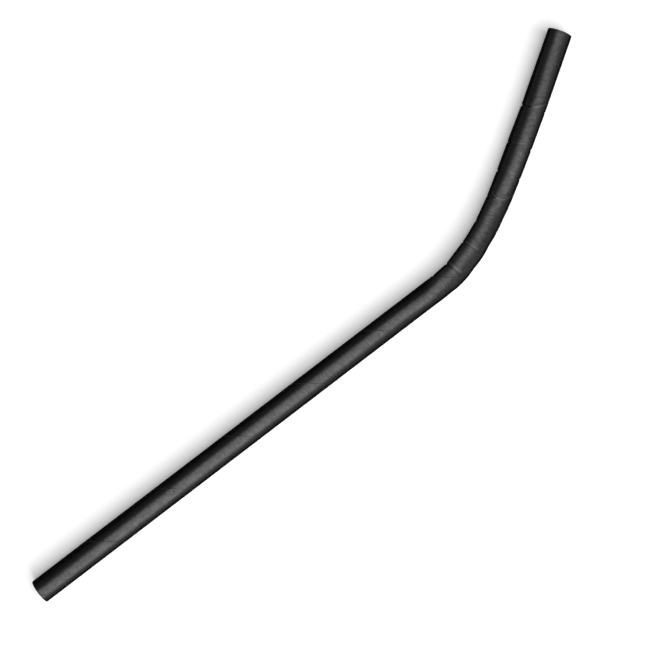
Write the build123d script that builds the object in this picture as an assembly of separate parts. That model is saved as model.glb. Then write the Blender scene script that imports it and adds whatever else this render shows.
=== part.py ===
from build123d import *
import math
import os

# A bendable paper drinking straw, lying flat on a table with its bend in the horizontal plane.
# It is one wound paper tube. The flexible section is a row of folds pressed into that tube.
# Each fold is a tuck: the wall dives in over one rounded lip and comes back out over the next.
# Where the straw is bent, a fold is closed on the inner side of the bend and pulled flat on the outer side.
# +X runs along the long leg from the foot towards the folds, and the bend turns towards +Y.

# Driving dimensions of the tube, in millimetres
outer_diameter = 6.0
wall = 0.4
long_leg = 120.3  # from the foot end to the first fold
mouth_leg = 19.2  # from the last fold to the mouth end
fold_spacing = [5.0, 6.6, 6.5, 6.3, 7.3, 7.4, 9.4]  # from each fold to the next

# Driving dimensions of one fold, in millimetres
fold_depth = 0.45  # from the tube's outside to the bottom of a closed fold
lip_radius = 0.2
closed_gap = 0.06  # between a fold's lips on the inner side of the bend

# Driving angles, in degrees
fold_angles = [3.7, 11.6, 6.8, 5.6, 3.3, 1.0, 0.1, 1.2]  # the turn at each fold, from the long leg on
flat_angle = 3.5  # the turn that pulls a fold flat on the outer side of the bend

# How finely a lip is rounded, and how far the bore's cutter runs past both ends
lip_arc_angles = [0, 45, 90]
overrun = 1.0

outer_radius = outer_diameter / 2


def square_to(point, heading, distance):
    """The plane square to the tube, a distance past a point on its axis. Its x points out of the bend."""
    forward = Vector(1, 0, 0).rotate(Axis.Z, heading)
    return Plane(origin=point + forward * distance, x_dir=forward.rotate(Axis.Z, -90), z_dir=forward)


def ring(plane, inner_drop, outer_drop):
    """A round section, sunk below the tube's outside by one drop on each side of the bend."""
    radius = outer_radius - (inner_drop + outer_drop) / 2
    shift = (inner_drop - outer_drop) / 2
    return plane * Pos(shift, 0) * Circle(radius)


def fold_points():
    """Each fold's middle, with the tube's heading before and after it, then the mouth and its heading."""
    point = Vector(0, 0, 0)
    heading = 0.0
    folds = []
    for length, turn in zip([long_leg] + fold_spacing, fold_angles):
        point = point + Vector(length, 0, 0).rotate(Axis.Z, heading)
        folds.append((point, heading, heading + turn))
        heading += turn
    mouth = point + Vector(mouth_leg, 0, 0).rotate(Axis.Z, heading)
    return folds, mouth, heading


def half_gap(turn):
    """Half the width of a fold at the tube's axis: its lips all but meet on the inner side of the bend."""
    return closed_gap / 2 + outer_radius * math.tan(math.radians(turn / 2))


def still_folded(turn):
    """The share of a fold's depth that is left on the outer side of the bend."""
    return max(0.0, 1 - turn / flat_angle)


def lip_rings(point, heading, side, turn):
    """The rounded lip on one side of a fold, from the tube's outside to the mouth of the tuck."""
    rings = []
    for angle in lip_arc_angles:
        setback = lip_radius * (1 - math.sin(math.radians(angle)))
        drop = lip_radius * (1 - math.cos(math.radians(angle)))
        plane = square_to(point, heading, side * (half_gap(turn) + setback))
        rings.append(ring(plane, drop, drop * still_folded(turn)))
    return rings


def outer_fold(point, before, after):
    """The sections of the tube's outside across one fold."""
    turn = after - before
    crease = square_to(point, (before + after) / 2, 0)
    valley = ring(crease, fold_depth, fold_depth * still_folded(turn))
    return lip_rings(point, before, -1, turn) + [valley] + lip_rings(point, after, 1, turn)[::-1]


def inner_fold(point, before, after):
    """The sections of the bore across one fold, one wall inside the outer ones: a ridge."""
    turn = after - before
    middle = (before + after) / 2
    foot_of_ridge = half_gap(turn) + wall
    ridge = (fold_depth + wall, fold_depth * still_folded(turn) + wall)
    return [
        ring(square_to(point, before, -foot_of_ridge), wall, wall),
        ring(square_to(point, middle, -wall / 2), *ridge),
        ring(square_to(point, middle, wall / 2), *ridge),
        ring(square_to(point, after, foot_of_ridge), wall, wall),
    ]


def make_straw():
    """The tube's outside less its bore, each one ruled through its round sections from foot to mouth."""
    folds, mouth, heading = fold_points()
    foot = Vector(0, 0, 0)
    outside = [ring(square_to(foot, 0, 0), 0, 0)]
    bore = [ring(square_to(foot, 0, -overrun), wall, wall)]
    for fold in folds:
        outside += outer_fold(*fold)
        bore += inner_fold(*fold)
    outside.append(ring(square_to(mouth, heading, 0), 0, 0))
    bore.append(ring(square_to(mouth, heading, overrun), wall, wall))
    return loft(outside, ruled=True) - loft(bore, ruled=True)


def stand(part):
    """Put the origin under the middle of the part, on the table."""
    box = part.bounding_box()
    middle = box.center()
    return Pos(-middle.X, -middle.Y, -box.min.Z) * part


os.makedirs("parts", exist_ok=True)
straw = stand(make_straw())
export_step(straw, "parts/straw.step")
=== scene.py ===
import math

import bpy
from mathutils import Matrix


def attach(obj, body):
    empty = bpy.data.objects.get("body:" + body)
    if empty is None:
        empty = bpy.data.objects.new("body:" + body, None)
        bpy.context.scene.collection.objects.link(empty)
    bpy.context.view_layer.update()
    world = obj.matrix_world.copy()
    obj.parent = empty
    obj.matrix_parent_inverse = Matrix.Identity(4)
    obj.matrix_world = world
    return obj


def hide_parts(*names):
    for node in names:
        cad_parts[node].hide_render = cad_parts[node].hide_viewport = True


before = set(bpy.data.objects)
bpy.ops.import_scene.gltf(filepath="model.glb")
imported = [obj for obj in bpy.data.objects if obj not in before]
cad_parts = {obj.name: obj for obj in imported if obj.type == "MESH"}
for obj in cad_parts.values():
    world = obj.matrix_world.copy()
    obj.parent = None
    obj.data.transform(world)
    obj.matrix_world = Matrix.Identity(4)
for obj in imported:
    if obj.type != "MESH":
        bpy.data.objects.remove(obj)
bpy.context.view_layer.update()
mm = 0.001
print("frame loaded")


class Wire:  # a socket of a node tree, with the maths that is used below
    def __init__(self, tree, socket=None):
        self.tree, self.socket = tree, socket

    def node(self, kind, settings={}, sockets={}, out=0):  # out is one output, or a tuple of them
        made = self.tree.nodes.new(kind)
        for name, value in settings.items():
            setattr(made, name, value)
        for key, value in sockets.items():
            socket = self.pick(made.inputs, key)
            if isinstance(value, Wire):
                value.feed(socket)
            else:
                socket.default_value = value
        if isinstance(out, tuple):
            return [Wire(self.tree, self.pick(made.outputs, key)) for key in out]
        return Wire(self.tree, self.pick(made.outputs, out))

    def pick(self, sockets, key):  # by its number, its identifier or its name
        if isinstance(key, int):
            return sockets[key]
        return next((s for s in sockets if s.identifier == key), None) or sockets[key]

    def feed(self, socket):
        self.tree.links.new(self.socket, socket)

    def maths(self, operation, *values):
        return self.node("ShaderNodeMath", {"operation": operation}, dict(enumerate(values)))

    def __add__(self, other): return self.maths("ADD", self, other)
    def __radd__(self, other): return self.maths("ADD", other, self)
    def __sub__(self, other): return self.maths("SUBTRACT", self, other)
    def __rsub__(self, other): return self.maths("SUBTRACT", other, self)
    def __mul__(self, other): return self.maths("MULTIPLY", self, other)
    def __rmul__(self, other): return self.maths("MULTIPLY", other, self)
    def __truediv__(self, other): return self.maths("DIVIDE", self, other)
    def __rtruediv__(self, other): return self.maths("DIVIDE", other, self)
    def __pow__(self, other): return self.maths("POWER", self, other)
    def __abs__(self): return self.maths("ABSOLUTE", self)
    def clamp(self, low=0.0): return self.node("ShaderNodeClamp", {}, {"Value": self, "Min": low})
    def split(self): return self.node("ShaderNodeSeparateXYZ", {}, {0: self}, ("X", "Y", "Z"))
    def vector(self, x, y, z): return self.node("ShaderNodeCombineXYZ", {}, {0: x, 1: y, 2: z})

    def vectorTimes(self, factors):
        return self.node("ShaderNodeVectorMath", {"operation": "MULTIPLY"}, {0: self, 1: factors})

    def mix(self, low, high):  # self is the factor, between two numbers
        return self.node("ShaderNodeMix", {"data_type": "FLOAT"},
                         {"Factor_Float": self, "A_Float": low, "B_Float": high}, "Result_Float")

    def mixColour(self, low, high):
        return self.node("ShaderNodeMix", {"data_type": "RGBA"},
                         {"Factor_Float": self, "A_Color": low, "B_Color": high}, "Result_Color")

    def between(self, low, high):  # 0 below low, 1 above high
        return self.node("ShaderNodeMapRange", {}, {"Value": self, "From Min": low, "From Max": high})

    def band(self, middle, halfWidth):  # 1 at the middle, 0 from the half width on
        return (1 - abs(self - middle) / halfWidth).clamp()

    def noise(self, scale, detail=2.0, roughness=0.5):
        return self.node("ShaderNodeTexNoise", {}, {"Vector": self, "Scale": scale, "Detail": detail,
                                                    "Roughness": roughness})


def inMetres(lengths):
    return [length * mm for length in lengths]


# camera: straight above the straw, turned as the photograph is
cameraPlan = {  # places in metres, the roll in degrees
    "above": (0.001943, -0.00502),
    "height": 0.463,
    "roll": -37.394,
    "lens": 107.47,
    "sensor": 36.0,
    "clip": (0.01, 20.0),
}


def makeCamera():
    p = cameraPlan
    data = bpy.data.cameras.new("camera")
    data.lens, data.sensor_width, data.sensor_fit = p["lens"], p["sensor"], "HORIZONTAL"
    data.clip_start, data.clip_end = p["clip"]
    camera = bpy.data.objects.new("camera", data)
    bpy.context.scene.collection.objects.link(camera)
    camera.location = (*p["above"], p["height"])
    camera.rotation_euler = (0, 0, math.radians(p["roll"]))
    bpy.context.scene.camera = camera


# the straw: a flat sheet that is rolled, folded and bent by Geometry Nodes
strawPlan = {  # lengths in millimetres, turns in degrees
    "diameter": 6.0,
    "wall": 0.4,
    "length": 188.0,
    "foot": (-90.7232, -15.0816, 3.0),  # the tube's axis at the foot end, in the row frame
    # one value for each fold, from the foot end on
    "foldPlaces": [120.45, 125.1, 132.05, 138.4, 145.1, 151.8, 159.15, 168.6],
    "foldTurns": [3.7, 11.6, 6.8, 5.6, 3.3, 1.0, 0.1, 1.2],
    "innerLips": [0.16, 0.28, 0.2, 0.12, 0.08, 0.26, 0.18, 0.34],  # drop of the lips on the inner side
    "outerLips": [0.0, 0.01, 0.02, 0.05, 0.05, 0.13, 0.17, 0.1],
    "topLip": 0.003,  # drop of the lips between the two sides
    "topValley": 0.012,  # depth of the folds there
    "sideSharpness": 12.0,  # how soon a fold fades away from the two sides
    "lipRun": 0.45,
    "lipRounding": 1.4,
    "mitreRun": 1.4,  # how far from a fold the inner side still leans towards it
    "outerSpread": 7.0,  # the stretch of the outer side over which a fold turns
    "foldDepth": 0.45,
    "closedGap": 0.06,
    "flatTurn": 3.5,  # the turn that pulls a fold flat on the outer side
    # the section's lean towards the inner side, by the length along the tube
    "leans": [(10, -0.02), (50, 0.02), (90, 0.05), (108, 0.08), (116, 0.03), (122, 0.15), (128.5, 0.195),
              (135, 0.178), (141, 0.165), (148, 0.063), (155, -0.016), (165, -0.012), (173, -0.002),
              (184, 0.058)],
    "leanLoss": 1.8,  # keeps the leaning section as wide as the round one
    # how much wider the tube is pressed to each side, by the length along it
    "swells": [(121.0, 0.0), (125.3, 0.05), (129.0, 0.095), (132.2, 0.085), (134.6, -0.035),
               (141.0, -0.04), (146.0, -0.02), (151.0, 0.0), (157.0, 0.03), (160.5, 0.06), (166.0, 0.0)],
    # inset and setback round a cut end, with the joints between the three plies
    "rim": [(0.0, 0.07), (0.012, 0.03), (0.035, 0.01), (0.07, 0.0), (0.12, 0.0), (0.134, 0.02),
            (0.148, 0.0), (0.25, 0.0), (0.264, 0.02), (0.278, 0.0), (0.33, 0.0), (0.365, 0.01),
            (0.388, 0.03), (0.4, 0.07)],
    "cutReach": (0.02, 0.45),  # how far in from an end the cut shows
    "seamTop": 20.0,  # where the seam crosses the top
    "seamPitch": 20.6,
    "seamPitchAfter": 23.0,
    "seamPitchChange": 123.0,
    "seamSway": 0.09,  # turns by which the folds push the seam to and fro
    "swayGrowth": 3.0,  # the sway is whole a third of a turn after the change
    "seamHeight": 0.018,
    "seamEdge": (-0.22, 0.15),  # where the raised edge starts and ends, beside the seam
    "unevenness": 0.02,
    "lumps": 260.0,  # to the metre
    # how closely the sheet is divided
    "columns": 90,
    "seamColumns": (0.0, 0.03, 0.06, 0.1, 0.15),
    "rowStep": 0.4,
    "foldRowStep": 0.25,
    "boreRowStep": 1.2,
    "foldMargin": 1.5,  # how far before and after the folds the finer rows run
    "mitreRows": (1.0, 0.7),  # shares of the mitre's run
    "lipShoulder": 0.6,
    "lipAngles": (0, 18, 36, 54, 72, 90),
    "ridgeShoulder": 0.8,
    "mergeDistance": 0.0004,
}


def filled(knots, step):  # the knots, with even rows between them
    rows = [knots[0]]
    for low, high in zip(knots, knots[1:]):
        count = max(1, math.ceil((high - low) / step - 1e-6))  # a whole number of steps stays whole
        rows += [low + (high - low) * (i + 1) / count for i in range(count)]
    return rows


def inFolds(along):
    places, margin = strawPlan["foldPlaces"], strawPlan["foldMargin"]
    return places[0] - margin < along < places[-1] + margin


def sheetRows():  # (along, inset) round the closed wall section: outside, mouth rim, bore, foot rim
    p = strawPlan
    setback = p["rim"][0][1]
    gap = p["closedGap"] / 2
    lipRows = [gap + p["lipRun"] * (1 - math.sin(math.radians(a))) for a in p["lipAngles"]]
    mitreRows = [p["mitreRun"] * share for share in p["mitreRows"]]
    outerHalf = [-x for x in mitreRows + [p["lipShoulder"]] + lipRows + [gap * 0.5]]
    boreHalf = [-p["mitreRun"], -p["ridgeShoulder"], -p["wall"], -p["wall"] / 2]
    outside, bore = [setback], [setback]
    for place in p["foldPlaces"]:
        outside += [place + x for x in outerHalf + [0.0] + [-x for x in outerHalf[::-1]]]
        bore += [place + x for x in boreHalf + [-x for x in boreHalf[::-1]]]
    outside, bore = outside + [p["length"] - setback], bore + [p["length"] - setback]
    legRows = [x for x in filled(outside, p["rowStep"]) if not inFolds(x)]
    foldRows = [x for x in filled(outside, p["foldRowStep"]) if inFolds(x)]
    rim = p["rim"][1:-1]
    rows = [(x, 0.0) for x in sorted(legRows + foldRows)]
    rows += [(p["length"] - back, inset) for inset, back in rim]
    rows += [(x, p["wall"]) for x in filled(bore, p["boreRowStep"])[::-1]]
    rows += [(back, inset) for inset, back in rim[::-1]]
    return rows + [rows[0]]


def sheetColumns():  # angles from the seam, close together beside it
    radius, count = strawPlan["diameter"] / 2, strawPlan["columns"]
    near = [x / radius for x in strawPlan["seamColumns"]]
    even = [2 * math.pi * i / count for i in range(1, count)]
    return near + even + [2 * math.pi - x for x in near[::-1]]


def flatSheet():
    rows, columns = sheetRows(), sheetColumns()
    verts = [(angle, along * mm, inset * mm) for along, inset in rows for angle in columns]
    n = len(columns)
    faces = [(r * n + c, (r + 1) * n + c, (r + 1) * n + c + 1, r * n + c + 1)
             for r in range(len(rows) - 1) for c in range(n - 1)]
    mesh = bpy.data.meshes.new("flatSheet")
    mesh.from_pydata(verts, [], faces)
    print("flat sheet:", len(rows), "rows by", n, "columns")
    return mesh


def tubeInputs(material):  # name, socket type and value of every input of the tree
    p = strawPlan
    sizes = [
        ("Radius", p["diameter"] / 2 * mm),
        ("Wall", p["wall"] * mm),
        ("Length", p["length"] * mm),
        ("Lip Run", p["lipRun"] * mm),
        ("Top Lip", p["topLip"] * mm),
        ("Top Valley", p["topValley"] * mm),
        ("Mitre Run", p["mitreRun"] * mm),
        ("Outer Spread", p["outerSpread"] * mm),
        ("Fold Depth", p["foldDepth"] * mm),
        ("Closed Gap", p["closedGap"] * mm),
        ("Flat Turn", math.radians(p["flatTurn"])),
        ("Seam Top", p["seamTop"] * mm),
        ("Seam Pitch", p["seamPitch"] * mm),
        ("Seam Pitch After", p["seamPitchAfter"] * mm),
        ("Seam Pitch Change", p["seamPitchChange"] * mm),
        ("Seam Sway", p["seamSway"]),
        ("Seam Height", p["seamHeight"] * mm),
        ("Unevenness", p["unevenness"] * mm),
    ]
    for i, fold in enumerate(zip(p["foldPlaces"], p["foldTurns"], p["innerLips"], p["outerLips"])):
        names = ("Fold Place", "Fold Turn", "Inner Lip", "Outer Lip")
        values = (fold[0] * mm, math.radians(fold[1]), fold[2] * mm, fold[3] * mm)
        sizes += [(f"{name} {i + 1}", value) for name, value in zip(names, values)]
    for i, (place, lean) in enumerate(p["leans"]):
        sizes += [(f"Lean Place {i + 1}", place * mm), (f"Lean {i + 1}", lean)]
    for i, (place, swell) in enumerate(p["swells"]):
        sizes += [(f"Swell Place {i + 1}", place * mm), (f"Swell {i + 1}", swell * mm)]
    inputs = [("Foot", "NodeSocketVector", inMetres(p["foot"])),
              ("Material", "NodeSocketMaterial", material)]
    return inputs + [(name, "NodeSocketFloat", value) for name, value in sizes]


def tubeTree(inputs):
    tree = bpy.data.node_groups.new("rolledTube", "GeometryNodeTree")
    tree.interface.new_socket("Geometry", in_out="INPUT", socket_type="NodeSocketGeometry")
    tree.interface.new_socket("Geometry", in_out="OUTPUT", socket_type="NodeSocketGeometry")
    keys = {name: tree.interface.new_socket(name, in_out="INPUT", socket_type=kind).identifier
            for name, kind, value in inputs}
    p = strawPlan
    w = Wire(tree)
    source = tree.nodes.new("NodeGroupInput")
    given = {s.name: Wire(tree, s) for s in source.outputs}
    radius, wall = given["Radius"], given["Wall"]
    angle, along, inset = w.node("GeometryNodeInputPosition").split()
    inside = w.maths("GREATER_THAN", inset, wall * 0.5)
    circle = 2 * math.pi

    # the seam's angle at each place; the bore's rows turn slowly, so that both ends still meet
    change = given["Seam Pitch Change"]
    firstTurns = (w.maths("MINIMUM", along, change) - given["Seam Top"]) / given["Seam Pitch"]
    lastTurns = w.maths("MAXIMUM", along - change, 0.0) / given["Seam Pitch After"]

    def swayed(plain, last):  # steeper where the seam crosses the top of the folds
        wave = w.maths("SINE", plain * circle)
        return plain + wave * given["Seam Sway"] * (last * p["swayGrowth"]).clamp()

    seam = (swayed(firstTurns + lastTurns, lastTurns) + 0.25) * circle
    footTurns = 0.25 - given["Seam Top"] / given["Seam Pitch"]
    mouthLast = (given["Length"] - change) / given["Seam Pitch After"]
    mouthTurns = swayed((change - given["Seam Top"]) / given["Seam Pitch"] + mouthLast, mouthLast) + 0.25
    twist = mouthTurns - footTurns
    leftover = twist - w.maths("ROUND", twist)
    boreSeam = (footTurns + leftover * along / given["Length"]) * circle
    around = angle + inside.mix(seam, boreSeam)
    cosine, sine = w.maths("COSINE", around), w.maths("SINE", around)
    innerSide = (cosine + 1) * 0.5  # 1 on the inner side of the bend, 0 on the outer side
    outerShare = (cosine * -1).clamp()  # where a fold's turn is spread along the tube

    # the folds: a rounded lip on each side of a valley, and a ridge in the bore
    innerEdge, outerEdge = innerSide ** p["sideSharpness"], (1 - innerSide) ** p["sideSharpness"]
    outDrop, boreDrop, mitre, hinges = 0.0, 0.0, 0.0, []
    for i in range(len(p["foldPlaces"])):
        foldPlace, turn = given[f"Fold Place {i + 1}"], given[f"Fold Turn {i + 1}"]
        gap = given["Closed Gap"] * 0.5
        offset = along - foldPlace
        away = abs(offset)
        tilt = (1 - (away - gap) / (given["Mitre Run"] - gap)).clamp() * (offset / gap).clamp(-1.0)
        mitre = tilt * cosine.clamp() * radius * w.maths("TANGENT", turn * 0.5) + mitre
        innerLip, outerLip = given[f"Inner Lip {i + 1}"], given[f"Outer Lip {i + 1}"]
        lip = innerLip * innerEdge + outerLip * outerEdge + given["Top Lip"]
        leftFold = (1 - turn / given["Flat Turn"]).clamp()
        tuck = given["Fold Depth"] * innerSide.mix(leftFold, 1.0)
        valley = tuck * (innerEdge + outerEdge).clamp() + given["Top Valley"]
        rise = ((away - gap) / given["Lip Run"]).clamp()
        lipDrop = lip * (1 - rise) ** p["lipRounding"]
        deeper = w.maths("MAXIMUM", valley - lip, 0.0)
        outDrop = lipDrop + deeper * (1 - away / gap).clamp() + outDrop
        boreRidge = ((wall - away) / (wall * 0.5)).clamp()
        boreDrop = boreRidge * tuck + boreDrop
        spread = gap * 2 + given["Outer Spread"] * outerShare
        hinges.append((foldPlace, turn * (offset / spread + 0.5).clamp()))

    def profile(name, count):  # straight ramps from place to place along the tube
        value = given[f"{name} 1"]
        for i in range(1, count):
            ramp = along.between(given[f"{name} Place {i}"], given[f"{name} Place {i + 1}"])
            value = value + ramp * (given[f"{name} {i + 1}"] - given[f"{name} {i}"])
        return value

    leans = profile("Lean", len(p["leans"]))
    swells = profile("Swell", len(p["swells"])) * cosine * cosine

    # the seam's step, and the paper's unevenness
    before, after = inMetres(p["seamEdge"])
    fromSeam = (angle - circle * w.maths("GREATER_THAN", angle, math.pi)) * radius
    seamRidge = fromSeam.between(before, 0.0) * (1 - fromSeam.between(0.0, after))  # the overlapped edge
    relief = given["Seam Height"] * seamRidge * -1
    onTube = w.vector(along, cosine * radius, sine * radius)
    lump = (onTube.noise(p["lumps"], 1.0) - 0.5) * given["Unevenness"]
    drop = inside.mix(relief + outDrop, boreDrop)
    leaning = leans * sine * cosine * 2 - leans * leans * p["leanLoss"]
    out = (radius - inset) * (1 + leaning) - drop + lump + swells
    place = w.vector(along + mitre, out * cosine, out * sine)
    for pivot, turn in hinges[::-1]:
        place = w.node("ShaderNodeVectorRotate", {"rotation_type": "Z_AXIS"},
                       {"Vector": place, "Center": w.vector(pivot, 0.0, 0.0), "Angle": turn})
    place = w.node("ShaderNodeVectorMath", {"operation": "ADD"}, {0: place, 1: given["Foot"]})

    # the places that the paper's material reads, then the rolled shape
    woundPlace = w.vector(along, w.maths("COSINE", angle) * radius, w.maths("SINE", angle) * radius)
    fromEnd = w.maths("MINIMUM", along, given["Length"] - along)
    cut = 1 - fromEnd.between(*inMetres(p["cutReach"]))
    shape = given["Geometry"]
    for name, kind, value in (("tube", "FLOAT_VECTOR", onTube), ("wound", "FLOAT_VECTOR", woundPlace),
                              ("cut", "FLOAT", cut), ("bore", "FLOAT", inside)):
        shape = w.node("GeometryNodeStoreNamedAttribute", {"data_type": kind, "domain": "POINT"},
                       {"Geometry": shape, "Name": name, "Value": value}, "Geometry")
    shape = w.node("GeometryNodeSetPosition", {}, {"Geometry": shape, "Position": place})
    shape = w.node("GeometryNodeMergeByDistance", {},
                   {"Geometry": shape, "Distance": p["mergeDistance"] * mm})
    shape = w.node("GeometryNodeSetShadeSmooth", {}, {"Geometry": shape, "Shade Smooth": True})
    shape = w.node("GeometryNodeRealizeInstances", {}, {"Geometry": shape})
    shape = w.node("GeometryNodeSetMaterial", {}, {"Geometry": shape, "Material": given["Material"]})
    shape.feed(tree.nodes.new("NodeGroupOutput").inputs[0])
    return tree, keys


def makeStraw(material):
    inputs = tubeInputs(material)
    tree, keys = tubeTree(inputs)
    blank = bpy.data.objects.new("flatSheet", flatSheet())
    bpy.context.scene.collection.objects.link(blank)
    modifier = blank.modifiers.new("roll", "NODES")
    modifier.node_group = tree
    for name, kind, value in inputs:
        modifier[keys[name]] = value
    bpy.context.view_layer.update()
    evaluated = blank.evaluated_get(bpy.context.evaluated_depsgraph_get())
    mesh = bpy.data.meshes.new_from_object(evaluated)
    bpy.data.objects.remove(blank)
    mesh.name = "paper_tube"
    straw = bpy.data.objects.new("paper_tube", mesh)
    bpy.context.scene.collection.objects.link(straw)
    print("straw rolled:", len(mesh.vertices), "points", len(mesh.polygons), "faces")
    return straw


# the paper: dyed black, with fibres, pale cut ends, a painted highlight along the seam's edge, and rubbed
# fold edges that are also painted lighter as a highlight
paperPlan = {  # lengths in millimetres, stations along the tube from its foot end
    "black": (0.002, 0.0019, 0.0019, 1),
    "fibre": (0.01, 0.0095, 0.0097, 1),
    # paler colour: painted highlight on the seam's edge, and on the fold lips partly rub wear and partly
    # painted highlight
    "wornAndHighlight": (0.07, 0.067, 0.067, 1),
    "cutEdge": (0.02, 0.0195, 0.019, 1),
    "specular": 0.92,
    "legRun": (0.0, 115.0),
    "foldsStart": (117.0, 122.0),
    "bendEnd": (140.0, 150.0),
    # the fibres, and coarser clouds and a finer grain, both to the metre
    "fibreWidth": 0.52,  # across the run of the fibres
    "fibreLength": 1.5,
    "fibreDetail": (2.0, 0.6),
    "ringShare": 0.88,  # fibres that run round the tube; the rest follow the wound strip
    "fibreTones": (0.4, 0.8),  # where black turns to the fibres' colour
    "fibreEnds": (0.3, 0.7),  # where loose fibres start to show, and show fully
    "clouds": 500.0,
    "frayed": (0.3, 0.55),  # the clouds break up the marks
    "grain": 3200.0,
    "fibreHeight": 0.04,
    "foldRelief": 1.4,
    "grainRelief": 0.2,
    # the lines beside the seam's ridge, one to each side, as middle and half width; the first is a painted
    # highlight, the second dulls the gloss
    "seamHighlightLine": (0.06, 0.13),
    "dulled": (-0.2, 0.22),
    # at each fold: how far its edge is rubbed and painted lighter as a highlight, the line of the rub past
    # the fold as a curve over the cosine round the tube, its half width, and the cosines that it runs
    # between
    "rubsAndHighlights": [(0.45, (0.18, 0.0, 0.0), 0.2, -0.4, 0.45), (1.0, (0.75, 0.0, 0.0), 0.42, -0.35, 0.75),
             (0.8, (0.45, 0.0, 0.0), 0.26, -0.4, 0.75), (0.3, (0.36, 0.0, 0.0), 0.2, -0.4, 0.4),
             (0.75, (0.2, -0.15, 2.3), 0.25, -0.85, 0.65), (0.5, (0.4, 0.0, 0.0), 0.2, -0.35, 0.35),
             (0.8, (0.4, -0.7, 0.2), 0.24, -0.45, 0.5), (0.9, (0.3, -0.35, 1.9), 0.28, -0.85, 0.45)],
    # the dark crease before it: how deep, how far before it, and the cosines that it runs between
    "creases": [(0.0, 0.3, 0.0, 0.4), (1.0, 0.55, -0.6, 0.65), (0.7, 0.38, 0.0, 0.6), (0.1, 0.3, 0.0, 0.4),
                (0.6, 0.5, 0.05, 0.5), (0.4, 0.3, 0.0, 0.45), (0.35, 0.6, 0.0, 0.4), (0.5, 0.6, 0.0, 0.4)],
    "creaseWidth": 0.24,
    "softEnds": (0.2, 0.1),  # cosines outside and inside a mark's ends, over which it fades
    "palest": {"rubsAndHighlights": 0.38, "seam": 0.4, "cuts": 0.6},  # shares of the paler colour (partly wear and partly painted highlight on the rubs, painted highlight on the seam's line) and of the cut edge's colour
    "brokenUp": {"rubsAndHighlights": 0.6, "seam": 0.4},  # what is left of them between the clouds
    "roughness": {"plain": 0.43, "folds": 0.03, "bend": 0.12, "fibres": 0.12, "clouds": 0.05,
                  "rubsAndHighlights": -0.06, "seam": -0.04, "cuts": 0.1},  # the paper's own, and what each adds
}

# loose fibres hide the gloss where the paper is seen at a glancing angle, and in the creases
glossPlan = {
    "glanceStart": 0.01,  # facing, from 0 seen squarely to 1 at the outline
    "innerGlance": 0.27,  # where the paper is wholly dull, on the inner and the outer side of the bend
    "outerGlance": 0.5,
    "foldGlance": 0.09,  # what the folds add on the inner side
    "sides": (0.35, 0.65),  # across the tube, from the outer to the inner side
    "lost": {"glancing": 0.99, "crease": 0.5, "seam": 0.6},  # shares of the gloss that each takes
    "loose": (0.47, 0.54),  # what loose fibres take, on the legs and in the folds
    "grain": 0.9,
    "rubbedFlat": 0.9,  # loose fibres that a rub lays flat
    "leg": (1.12, 0.8),  # how bright handling left the long leg, at its foot and at the folds
    "folds": 1.03,
    "bend": 0.07,
    "mattRoughness": 0.9,
}


def cosineRun(cosine, low, high):  # 1 between the two cosines
    outer, inner = paperPlan["softEnds"]
    return cosine.between(low - outer, low + inner) * (1 - cosine.between(high - inner, high + outer))


def foldMarks(station, cosine):  # the rubbed edges, painted lighter as a highlight, and the dark creases of all the folds
    rubAndHighlight, dark = 0.0, 0.0
    for place, rub, crease in zip(strawPlan["foldPlaces"], paperPlan["rubsAndHighlights"], paperPlan["creases"]):
        strength, (level, slope, bow), width, low, high = rub
        line = (station / mm - (place + level)) - (cosine * slope + cosine * cosine * bow)
        rubAndHighlight = line.band(0.0, width) * cosineRun(cosine, low, high) * strength + rubAndHighlight
        depth, before, low, high = crease
        dark = line.band(-before, paperPlan["creaseWidth"]) * cosineRun(cosine, low, high) * depth + dark
    return rubAndHighlight, dark


def paperGloss(w, marks):  # how much of the gloss is left at each place
    g = glossPlan
    front, folds, rubAndHighlight, grain = marks["front"], marks["folds"], marks["rubAndHighlight"], marks["grain"]
    facing = w.node("ShaderNodeLayerWeight", {}, {"Blend": 0.5}, "Facing")
    innerSide = front / (strawPlan["diameter"] * mm) + 0.5
    inner = folds * g["foldGlance"] + g["innerGlance"]
    glanceEnd = innerSide.between(*g["sides"]).mix(g["outerGlance"], inner)
    glancing = facing.between(g["glanceStart"], glanceEnd)
    fibreEnds = marks["fibres"].between(*paperPlan["fibreEnds"]) + (grain - 0.5) * g["grain"]
    loose = fibreEnds * folds.mix(*g["loose"]) * (1 - rubAndHighlight * g["rubbedFlat"])
    leg = marks["station"].between(*inMetres(paperPlan["legRun"])).mix(*g["leg"])
    handled = folds.mix(leg, g["folds"]) + marks["bend"] * g["bend"]
    kept = (1 - glancing * g["lost"]["glancing"]) * (1 - marks["crease"] * g["lost"]["crease"])
    return kept * (1 - marks["dull"] * g["lost"]["seam"]) * (1 - loose) * handled


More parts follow.
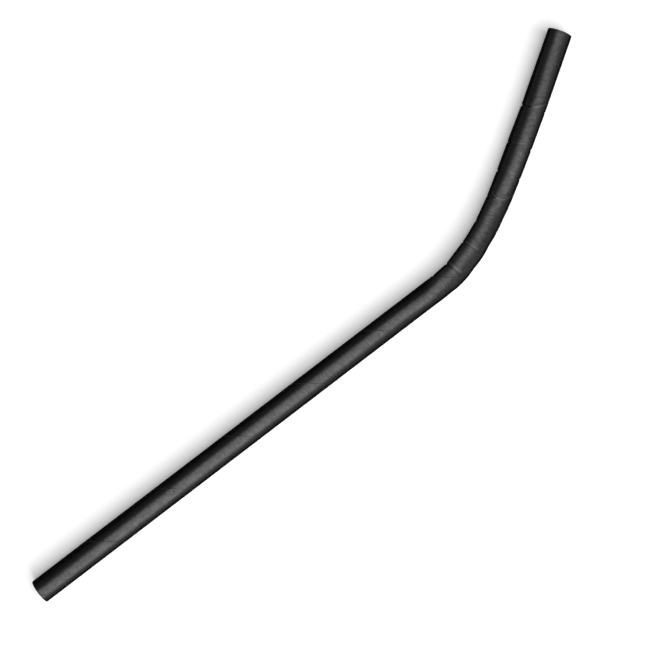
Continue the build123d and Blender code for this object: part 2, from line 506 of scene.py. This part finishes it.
def blackPaper():
    p = paperPlan
    material = bpy.data.materials.new("black_paper")
    material.use_nodes = True
    tree = material.node_tree
    paper = tree.nodes["Principled BSDF"]
    paper.inputs["Specular IOR Level"].default_value = p["specular"]
    w = Wire(tree)

    def attribute(name, out):
        return w.node("ShaderNodeAttribute", {"attribute_name": name}, {}, out)

    tube, wound = attribute("tube", "Vector"), attribute("wound", "Vector")
    outside, cut = 1 - attribute("bore", "Fac"), attribute("cut", "Fac")
    station, front = tube.split()[:2]
    folds = station.between(*inMetres(p["foldsStart"]))
    bend = folds * (1 - station.between(*inMetres(p["bendEnd"])))
    across, along = 1 / (p["fibreWidth"] * mm), 1 / (p["fibreLength"] * mm)
    ringFibres = tube.vectorTimes((across, along, along)).noise(1.0, *p["fibreDetail"])
    stripFibres = wound.vectorTimes((along, across, across)).noise(1.0, *p["fibreDetail"])
    fibres = ringFibres * p["ringShare"] + stripFibres * (1 - p["ringShare"])
    cloud, grain = tube.noise(p["clouds"]), tube.noise(p["grain"], 1.0)
    frayed = cloud.between(*p["frayed"])

    # the seam's marks, a painted highlight line and a dull line, and not on the far side of the tube,
    # where the place beside the seam is 0 again
    seamFront, seamSide = wound.split()[1:]
    onSeam = w.maths("GREATER_THAN", seamFront, 0.0) * outside
    bright = seamSide.band(*inMetres(p["seamHighlightLine"])) * onSeam
    dull = seamSide.band(*inMetres(p["dulled"])) * onSeam

    # the folds' mouth-side edges are rubbed and painted lighter as a highlight, and the ends are cut
    # through the dyed plies
    rubAndHighlight, crease = foldMarks(station, front / (strawPlan["diameter"] / 2 * mm))
    rubAndHighlight, crease = rubAndHighlight * frayed.mix(p["brokenUp"]["rubsAndHighlights"], 1.0) * outside, crease * outside
    # painted highlight along the seam's raised edge
    seamLine = bright * frayed.mix(p["brokenUp"]["seam"], 1.0)
    colour = fibres.between(*p["fibreTones"]).mixColour(p["black"], p["fibre"])
    # painted highlight: the rubs, partly real wear, and the seam's line are mixed towards the paler colour
    colour = (rubAndHighlight * p["palest"]["rubsAndHighlights"] + seamLine * p["palest"]["seam"]).mixColour(colour, p["wornAndHighlight"])
    cutFibres = cut * fibres.between(*p["fibreEnds"])
    colour = (cutFibres * p["palest"]["cuts"]).mixColour(colour, p["cutEdge"])
    colour.feed(paper.inputs["Base Color"])

    r = p["roughness"]
    roughness = r["plain"] + folds * r["folds"] + bend * r["bend"]
    roughness = roughness + (fibres - 0.5) * r["fibres"] + (cloud - 0.5) * r["clouds"]
    roughness = roughness + rubAndHighlight * r["rubsAndHighlights"] + bright * r["seam"] + cut * r["cuts"]
    roughness.feed(paper.inputs["Roughness"])
    relief = fibres * folds.mix(1.0, p["foldRelief"]) + grain * p["grainRelief"]
    bump = w.node("ShaderNodeBump", {},
                  {"Height": relief, "Distance": p["fibreHeight"] * mm, "Strength": 1.0})
    bump.feed(paper.inputs["Normal"])

    # the same paper without its gloss, mixed in where loose fibres stand up
    matt = tree.nodes.new("ShaderNodeBsdfPrincipled")
    matt.inputs["Specular IOR Level"].default_value = 0.0
    matt.inputs["Roughness"].default_value = glossPlan["mattRoughness"]
    colour.feed(matt.inputs["Base Color"])
    gloss = paperGloss(w, {"station": station, "front": front, "folds": folds, "bend": bend, "dull": dull,
                           "fibres": fibres, "grain": grain, "rubAndHighlight": rubAndHighlight, "crease": crease})
    both = w.node("ShaderNodeMixShader", {}, {0: (1 - gloss).clamp(), 1: Wire(tree, paper.outputs[0]),
                                              2: Wire(tree, matt.outputs[0])})
    both.feed(tree.nodes["Material Output"].inputs["Surface"])
    return material


# floor and light
studioPlan = {  # lengths in metres, angles in degrees
    "floorColour": (0.95, 0.95, 0.95, 1),
    "floorRoughness": 0.9,
    "floorHalf": 12.0,
    "floorGlow": 0.16,
    "litReach": (0.4, 1.0),  # from where the softboxes fade to where they no longer reach
    "world": 0.012,
    "azimuth": -82.0,  # where the softboxes stand, in the row frame
    "distance": 0.8,
    "depth": 0.28,
    "length": 0.9,  # along the straw
    "strength": 1.2,
    "softboxes": [  # name, angle from the zenith, share of the light
        ("overheadSoftbox", -3.0, 0.31),
        ("upperSoftbox", 17.0, 0.26),
        ("keySoftbox", 37.0, 0.32),
        ("lowSoftbox", 57.0, 0.31),
    ],
}


def makeFloor():
    p = studioPlan
    half = p["floorHalf"]
    corners = [(-half, -half, 0), (half, -half, 0), (half, half, 0), (-half, half, 0)]
    mesh = bpy.data.meshes.new("floor")
    mesh.from_pydata(corners, [], [(0, 1, 2, 3)])
    floor = bpy.data.objects.new("floor", mesh)
    bpy.context.scene.collection.objects.link(floor)
    material = bpy.data.materials.new("white_floor")
    material.use_nodes = True
    surface = material.node_tree.nodes["Principled BSDF"]
    surface.inputs["Base Color"].default_value = p["floorColour"]
    surface.inputs["Roughness"].default_value = p["floorRoughness"]
    surface.inputs["Specular IOR Level"].default_value = 0.0
    surface.inputs["Emission Strength"].default_value = 1.0
    w = Wire(material.node_tree)
    rays = ("Is Camera Ray", "Is Glossy Ray", "Is Transmission Ray")
    seen = w.node("ShaderNodeLightPath", {}, {}, rays)
    onFloor = w.node("ShaderNodeTexCoord", {}, {}, "Object")
    fromStraw = w.node("ShaderNodeVectorMath", {"operation": "LENGTH"}, {0: onFloor}, "Value")
    far = fromStraw.between(*p["litReach"]) * seen[0]
    shown = (seen[0] + seen[1] + seen[2]).clamp() * p["floorGlow"]
    glow = w.maths("MAXIMUM", shown, far).mixColour((0, 0, 0, 1), (1, 1, 1, 1))
    glow.feed(surface.inputs["Emission Color"])
    mesh.materials.append(material)


def makeLamps():
    p = studioPlan
    azimuth, distance = math.radians(p["azimuth"]), p["distance"]
    for name, zenith, share in p["softboxes"]:
        zenith = math.radians(zenith)
        data = bpy.data.lights.new(name, "AREA")
        data.shape, data.size, data.size_y = "RECTANGLE", p["length"], p["depth"]
        data.energy = share * p["strength"] * math.pi ** 2 * distance ** 2 / math.cos(zenith)
        lamp = bpy.data.objects.new(name, data)
        bpy.context.scene.collection.objects.link(lamp)
        flat = distance * math.sin(zenith)
        lamp.location = (flat * math.cos(azimuth), flat * math.sin(azimuth), distance * math.cos(zenith))
        lamp.rotation_euler = (zenith, 0, azimuth + math.pi / 2)


def makeWorld():  # nearly dark to the straw, white to the camera
    world = bpy.data.worlds.new("studio")
    world.use_nodes = True
    background = world.node_tree.nodes["Background"]
    background.inputs["Color"].default_value = (1, 1, 1, 1)
    seen = Wire(world.node_tree).node("ShaderNodeLightPath", {}, {}, "Is Camera Ray")
    seen.mix(studioPlan["world"], 1.0).feed(background.inputs["Strength"])
    bpy.context.scene.world = world


bpy.context.scene.view_settings.view_transform = "Standard"
makeCamera()
makeFloor()
makeLamps()
makeWorld()
print("camera, floor and light placed")
straw = makeStraw(blackPaper())
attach(straw, "root")
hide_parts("straw")
print("straw dressed")
